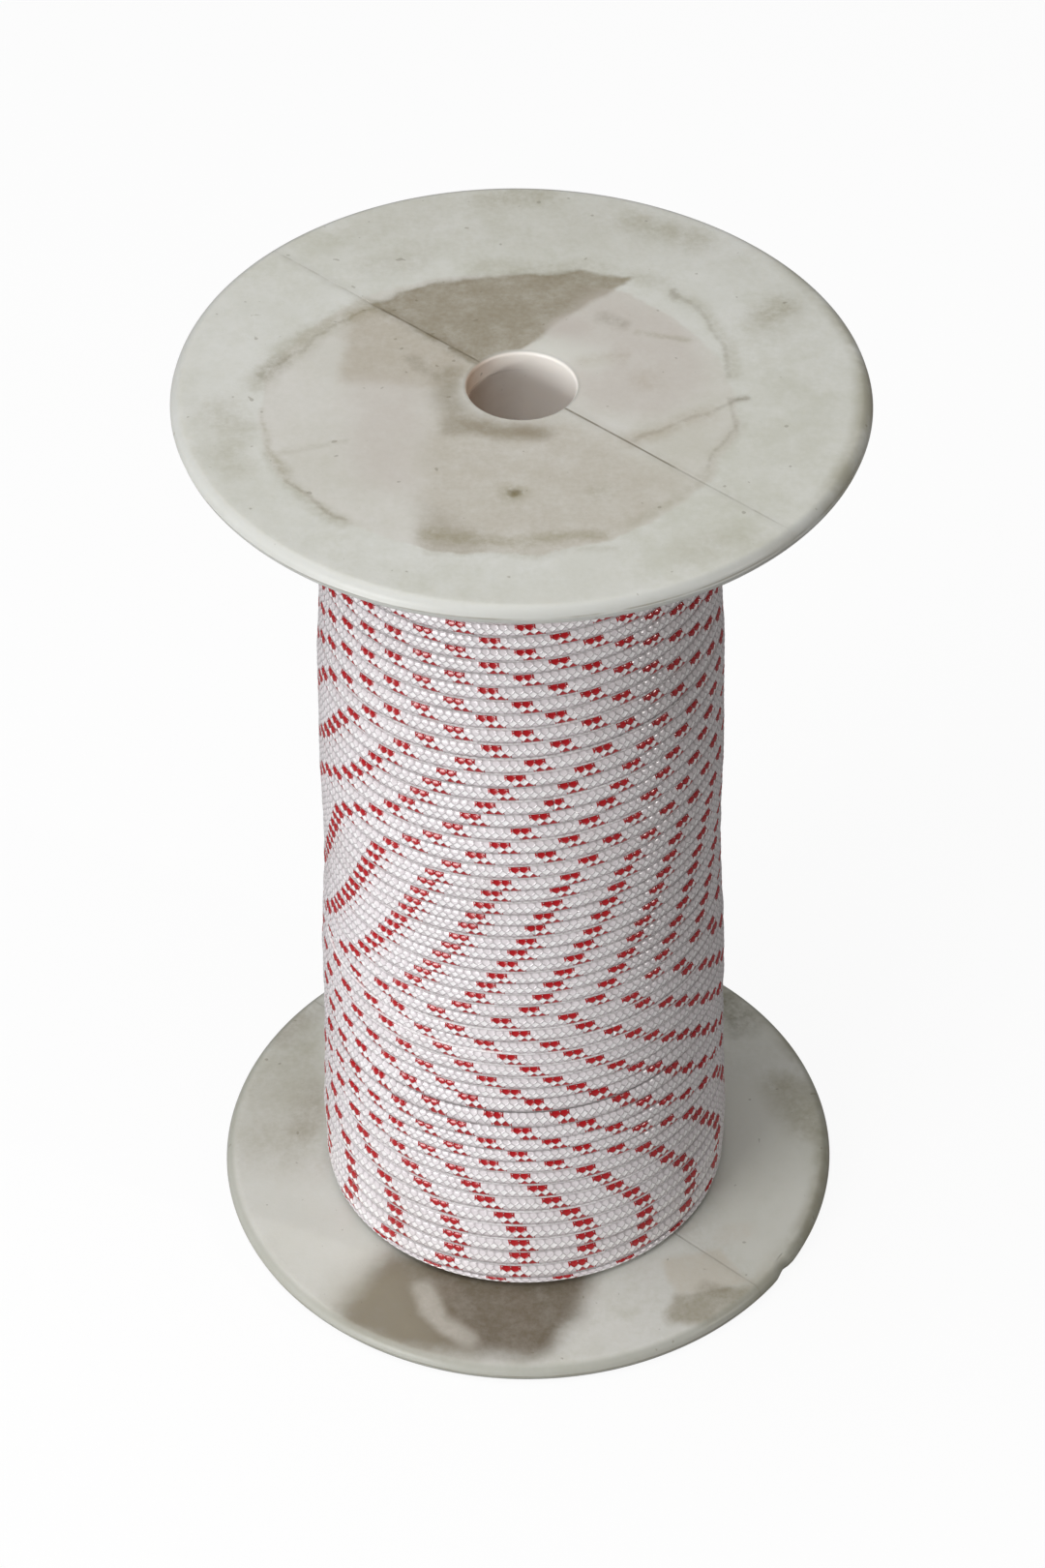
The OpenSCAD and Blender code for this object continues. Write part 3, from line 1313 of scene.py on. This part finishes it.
# ---------------------------------------------------------------- studio


@dataclass(frozen=True)
class Lamp:
    """One soft square lamp aimed at the reel."""

    name: str
    place: tuple[float, float, float]
    size: float
    power: float
    colour: Colour = (1.0, 1.0, 1.0)


@dataclass
class Studio:
    """A plain pale floor, soft lamps, a white surround and the camera."""

    target: Vector
    lamps: tuple[Lamp, ...] = (
        Lamp("key", (-1.08, -1.10, 0.38), 0.8, 22.0),
        Lamp("glint", (1.04, -0.50, 0.44), 0.055, 3.0, (1.0, 0.97, 0.93)),
        Lamp("top", (-0.34, -0.14, 1.45), 1.5, 17.6),
    )
    surround: float = 0.075
    floor_size: float = 8.0
    floor_bounce: float = 0.26
    floor_seen: float = 0.9
    floor_glow: float = 0.92
    frame_height: int = 1620
    focal_px: float = 4568.3
    sensor: float = 36.0
    eye: tuple[float, float, float] = (-0.475 * MM, -629.5 * MM, 674.1 * MM)
    look_down: float = 42.206
    roll: float = -0.524

    def build(self) -> None:
        """Sets up the floor, the light and the camera."""
        self._floor()
        for lamp in self.lamps:
            self._lamp(lamp)
        self._world()
        self._camera()
        bpy.context.scene.view_settings.view_transform = "Standard"

    def _floor(self) -> None:
        """Lays a pale floor that the reel stands on."""
        deselect_all()
        bpy.ops.mesh.primitive_plane_add(size=self.floor_size, location=(0, 0, -0.02 * MM))
        floor = bpy.context.object
        floor.name = "floor"
        g = Graph("pale_floor")
        seen = g.node("LightPath", output="Is Camera Ray")
        bounce, bright = ((level, level, level, 1.0) for level in (self.floor_bounce, self.floor_seen))
        g.fill(g.shader, {"Base Color": g.mix(seen, bounce, bright), "Roughness": 0.9})
        lit, glow = Value(g, g.shader.outputs[0]), g.node("Emission")
        surface = g.node("MixShader", {0: seen * self.floor_glow, 1: lit, 2: glow})
        g.fill(g.tree.nodes["Material Output"], {"Surface": surface})
        floor.data.materials.append(g.material)

    def _lamp(self, lamp: Lamp) -> None:
        """Hangs one lamp.

        Args:
            lamp: The lamp.
        """
        data = bpy.data.lights.new(lamp.name, "AREA")
        data.size = lamp.size
        data.energy = lamp.power
        data.color = lamp.colour
        made = bpy.data.objects.new(lamp.name, data)
        bpy.context.scene.collection.objects.link(made)
        made.location = lamp.place
        made.rotation_euler = (self.target - Vector(lamp.place)).to_track_quat("-Z", "Y").to_euler()

    def _world(self) -> None:
        """Makes the surround white to the camera and softer as light."""
        world = bpy.data.worlds.new("surround")
        bpy.context.scene.world = world
        world.use_nodes = True
        tree = world.node_tree
        path = tree.nodes.new("ShaderNodeLightPath")
        level = tree.nodes.new("ShaderNodeMapRange")
        level.inputs["To Min"].default_value = self.surround
        level.inputs["To Max"].default_value = 1.0
        tree.links.new(path.outputs["Is Camera Ray"], level.inputs["Value"])
        tree.nodes["Background"].inputs["Color"].default_value = (1, 1, 1, 1)
        tree.links.new(level.outputs[0], tree.nodes["Background"].inputs["Strength"])

    def _camera(self) -> None:
        """Places the camera."""
        down, roll = math.radians(self.look_down), math.radians(self.roll)
        right = Vector((1, 0, 0))
        up = Vector((0, math.sin(down), math.cos(down)))
        back = right.cross(up)
        across = math.cos(roll) * right + math.sin(roll) * up
        rise = -math.sin(roll) * right + math.cos(roll) * up
        data = bpy.data.cameras.new("camera")
        data.sensor_width = self.sensor
        data.sensor_fit = "AUTO"
        data.lens = self.focal_px * self.sensor / self.frame_height
        data.clip_end = 20
        camera = bpy.data.objects.new("camera", data)
        turned = Matrix((across, rise, back)).transposed().to_4x4()
        camera.matrix_world = Matrix.Translation(Vector(self.eye)) @ turned
        bpy.context.scene.collection.objects.link(camera)
        bpy.context.scene.camera = camera


# ---------------------------------------------------------------- the whole


BROWN = (148, 139, 120)
TAN = (168, 156, 136)
UMBER = (112, 101, 78)
OLIVE = (138, 130, 96)
PINKISH = (196, 189, 181)
BLEACHED = (214, 214, 206)

UPPER_MARKS = (
    Patch(((-0.5, 0.35), (-0.52, 0.02), (-0.24, -0.02), (-0.1, 0.08), (-0.42, 0.38)), TAN, 0.6, 0.06, True),
    Patch(((-0.12, 0.09), (0.02, 0.19), (0.33, 0.515), (0.17, 0.545), (0.02, 0.54), (-0.154, 0.515),
           (-0.3, 0.465), (-0.435, 0.385)), BROWN, 0.95, 0.025, False, 0.4),
    Stroke(((-0.43, 0.385), (-0.3, 0.465), (-0.154, 0.515), (0.02, 0.54), (0.17, 0.545)), 0.006, UMBER, 0.25,
           0.05),
    Stroke(((-0.4, 0.35), (-0.15, 0.125)), 0.01, UMBER, 0.3, 0.06),
    Stroke(((0.14, 0.27),), 0.05, PINKISH, 0.8, 0.07, False, 0.2),
    Stroke(((-0.31, 0.13), (-0.24, 0.04)), 0.008, UMBER, 0.32, 0.05),
    Stroke(((-0.2, 0.05), (-0.22, -0.05), (-0.18, -0.15), (-0.08, -0.215), (0.04, -0.215)), 0.03, BROWN, 0.75,
           0.09, False, 0.5),
    Stroke(((-0.2, -0.2), (0.06, -0.225)), 0.025, UMBER, 0.5, 0.07, False, 0.6),
    Patch(((-0.28, -0.15), (-0.28, -0.76), (0.2, -0.8), (0.45, -0.45), (0.13, -0.15)), TAN, 0.42, 0.13, True,
          0.7),
    Patch(((-0.29, -0.53), (-0.28, -0.76), (-0.1, -0.76), (-0.1, -0.68)), BROWN, 0.42, 0.09, True),
    Stroke(((-0.26, -0.67), (-0.05, -0.715), (0.22, -0.67)), 0.012, OLIVE, 0.45, 0.07),
    Stroke(((-0.26, -0.75), (0.0, -0.765), (0.25, -0.73)), 0.006, OLIVE, 0.22, 0.04),
    Patch(((-0.48, 0.03), (-0.47, -0.45), (-0.29, -0.5), (-0.26, 0.02)), PINKISH, 0.7, 0.14, True),
    Patch(((0.08, 0.26), (0.17, -0.1), (0.4, -0.16), (0.55, 0.0), (0.48, 0.3), (0.26, 0.48)), PINKISH, 0.75,
          0.12, True),
    Stroke(((0.1, 0.17), (0.2, 0.12)), 0.05, BLEACHED, 0.75, 0.1, False, 0.3),
    Stroke(((0.36, 0.02),), 0.03, TAN, 0.35, 0.12),
    Stroke(((0.17, 0.12), (0.3, 0.12)), 0.015, TAN, 0.35, 0.06),
    Stroke(((-0.02, -0.497),), 0.014, UMBER, 1.0, 0.02, False, 0.4),
    Stroke(((-0.02, -0.5),), 0.03, OLIVE, 0.6, 0.06),
    Stroke(((0.22, -0.5),), 0.03, OLIVE, 0.5, 0.08),
    Stroke(((0.25, 0.32), (0.29, 0.29)), 0.012, UMBER, 0.4, 0.06),
    Stroke(((0.34, 0.25), (0.4, 0.23), (0.48, 0.22)), 0.004, OLIVE, 0.32, 0.03),
    Stroke(((0.443, 0.443), (0.51, 0.376), (0.57, 0.21), (0.597, 0.04)), 0.004, UMBER, 0.26, 0.02, False,
           1.0),
    Stroke(((0.443, 0.443), (0.52, 0.38), (0.59, 0.21), (0.61, 0.04)), 0.012, OLIVE, 0.24, 0.07),
    Stroke(((0.44, 0.45), (0.45, 0.43)), 0.008, UMBER, 0.43, 0.03),
    Stroke(((0.636, -0.058), (0.52, -0.145), (0.366, -0.212), (0.31, -0.25)), 0.003, UMBER, 0.33, 0.02,
           False, 1.0),
    Stroke(((0.52, -0.145), (0.366, -0.222), (0.31, -0.25)), 0.02, TAN, 0.45, 0.07),
    Stroke(((0.63, -0.06), (0.6, -0.08)), 0.01, UMBER, 0.45, 0.03),
    Stroke(((0.597, -0.1), (0.597, -0.2), (0.52, -0.385)), 0.003, UMBER, 0.32, 0.02, False, 1.0),
    Stroke(((0.6, -0.2), (0.52, -0.4), (0.45, -0.5), (0.3, -0.62)), 0.008, OLIVE, 0.25, 0.06),
    Stroke(((-0.42, 0.37), (-0.588, 0.235), (-0.69, 0.1)), 0.003, UMBER, 0.32, 0.018, False, 1.0),
    Stroke(((-0.44, 0.37), (-0.6, 0.25), (-0.7, 0.12), (-0.745, 0.0)), 0.022, OLIVE, 0.42, 0.11),
    Stroke(((-0.69, 0.11), (-0.72, 0.05)), 0.018, UMBER, 0.35, 0.08),
    Stroke(((-0.735, -0.12), (-0.703, -0.289), (-0.636, -0.443)), 0.003, OLIVE, 0.32, 0.02, False, 1.0),
    Stroke(((-0.636, -0.443), (-0.559, -0.549), (-0.482, -0.617)), 0.004, UMBER, 0.36, 0.016, False, 1.0),
    Stroke(((-0.7, -0.32), (-0.6, -0.52), (-0.48, -0.63)), 0.01, OLIVE, 0.35, 0.06),
    Stroke(((-0.67, -0.3), (-0.5, -0.27)), 0.004, OLIVE, 0.18, 0.04),
    Stroke(((0.72, 0.34), (0.76, 0.37)), 0.03, OLIVE, 0.5, 0.12),
    Stroke(((0.7, 0.28), (0.8, 0.42)), 0.05, OLIVE, 0.22, 0.16),
    Stroke(((-0.1, 0.57), (0.2, 0.57), (0.4, 0.49)), 0.02, OLIVE, 0.25, 0.09),
    Stroke(((-0.06, 0.94), (0.06, 0.95)), 0.05, OLIVE, 0.4, 0.14),
    Stroke(((0.36, 0.8), (0.52, 0.72)), 0.04, OLIVE, 0.35, 0.14),
    Stroke(((-0.86, -0.12), (-0.8, -0.2)), 0.05, OLIVE, 0.32, 0.14),
    Stroke(((-0.8, -0.38), (-0.84, -0.3)), 0.04, OLIVE, 0.25, 0.12),
    Stroke(((-0.44, 0.56), (-0.3, 0.62)), 0.03, OLIVE, 0.2, 0.14),
    Stroke(((0.46, -0.76), (0.6, -0.7)), 0.03, OLIVE, 0.2, 0.14),
    Patch(((-0.7, 0.66), (0.72, 0.62), (0.3, 0.98), (-0.35, 0.98)), OLIVE, 0.2, 0.25),
)
LOWER_MARKS = (
    Patch(((-0.5, -0.5), (-0.62, -0.8), (-0.42, -0.92), (0.1, -0.96), (0.14, -0.84), (0.31, -0.64),
           (0.2, -0.5)), (110, 100, 83), 1.0, 0.14, False, 0.2),
    Patch(((-0.4, -0.5), (-0.68, -0.64), (-0.58, -0.9), (-0.22, -0.96)), (152, 145, 126), 0.8, 0.24),
    Patch(((-1.0, -0.1), (-0.8, -0.55), (-0.62, -0.74), (-0.45, -0.5), (-0.58, -0.15)), BLEACHED, 0.55, 0.12),
    Patch(((-0.98, 0.3), (-0.97, -0.1), (-0.7, -0.15), (-0.66, 0.4), (-0.7, 0.62)), OLIVE, 0.34, 0.22),
    Stroke(((-0.86, 0.5), (-0.76, 0.6)), 0.05, BROWN, 0.55, 0.12),
    Stroke(((-0.71, 0.22), (-0.75, 0.05)), 0.04, BROWN, 0.45, 0.12),
    Stroke(((-0.34, -0.65), (-0.29, -0.78), (-0.2, -0.87)), 0.034, (200, 196, 186), 0.75, 0.05, False, 0.5),
    Patch(((0.1, -0.95), (0.28, -0.685), (0.37, -0.65), (0.44, -0.7), (0.42, -0.88), (0.29, -0.96)),
          (168, 163, 148), 0.85, 0.05),
    Patch(((0.46, -0.68), (0.44, -0.82), (0.6, -0.82), (0.72, -0.66), (0.6, -0.66)), (150, 142, 120), 0.8,
          0.04),
    Patch(((0.42, -0.55), (0.47, -0.68), (0.6, -0.67), (0.71, -0.64), (0.62, -0.49)), (202, 196, 182), 0.8,
          0.03),
    # Painted light: a pale patch that lifts the winding's cast shadow on the right of the lower face.
    Patch(((0.62, -0.46), (0.74, -0.62), (0.95, -0.34), (0.92, 0.25), (0.62, 0.25)), BLEACHED, 0.85, 0.15),
    Stroke(((0.64, -0.44), (0.7, -0.42)), 0.03, (206, 200, 188), 0.7, 0.06),
    Stroke(((0.8, -0.55), (0.74, -0.66)), 0.03, (206, 202, 190), 0.6, 0.06),
    Stroke(((0.66, 0.64), (0.72, 0.55)), 0.06, (108, 102, 78), 0.85, 0.14),
    Stroke(((0.86, 0.22), (0.92, 0.05)), 0.05, OLIVE, 0.55, 0.15),
    Stroke(((0.56, -0.66), (0.64, -0.7)), 0.02, BROWN, 0.6, 0.05),
)


def read_sizes() -> dict[str, float]:
    """Reads the reel's driving sizes from the frame.

    Returns:
        The sizes in metres, by name.
    """
    upper_low, upper_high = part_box("upper_flange")
    _, lower_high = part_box("lower_flange")
    _, barrel_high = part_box("barrel")
    bore = next(m for m in frame["record"]["mounts"] if m["name"] == "spindle_bore")
    thickness = upper_high.z - upper_low.z
    return {
        "radius": thickness * round(upper_high.x / thickness, 3),
        "height": upper_high.z,
        "upper_inner": upper_low.z,
        "lower_inner": lower_high.z,
        "barrel": barrel_high.x,
        "bore": bore["dims"]["r_mm"] * MM,
    }


def main() -> None:
    """Builds every piece in order and sets up the studio."""
    sizes = read_sizes()
    Studio(Vector((0, 0, sizes["height"] / 2))).build()
    plastic = ReelPlastic()
    upper = Flange(Face.UPPER, sizes["radius"], sizes["bore"], sizes["upper_inner"], sizes["height"],
                   (-0.0083, 0.0017))
    lower = Flange(Face.LOWER, sizes["radius"], sizes["bore"], 0.0, sizes["lower_inner"])
    upper.build(plastic.build("upper_plastic", upper.radius, upper.high, upper.middle, UPPER_MARKS,
                              LabelRing()))
    # The lower flange's rim takes darker painted shade.
    shaded = ReelPlastic(rim_shade=(152, 152, 142))
    lower.build(shaded.build("lower_plastic", lower.radius, lower.high, lower.middle, LOWER_MARKS))
    barrel = Barrel(sizes["barrel"], sizes["bore"], sizes["lower_inner"], sizes["upper_inner"])
    inside = ReelPlastic(clean=(244, 232, 216), pale=(248, 238, 226), dingy=(234, 216, 196))
    barrel.build(inside.build("barrel_plastic", lower.radius, 0.0, 0.0, ()))
    braid = Braid()
    winding = Winding(CORD_D, sizes["lower_inner"], sizes["upper_inner"], sizes["barrel"], braid)
    # The layers beneath wear the braid darkened to three quarters, as painted shade.
    winding.build(braid.build("braid", winding.uv_map), braid.build("braid_beneath", winding.uv_map, 0.75))


if __name__ == "__main__":
    logging.basicConfig(level=logging.INFO)
    main()
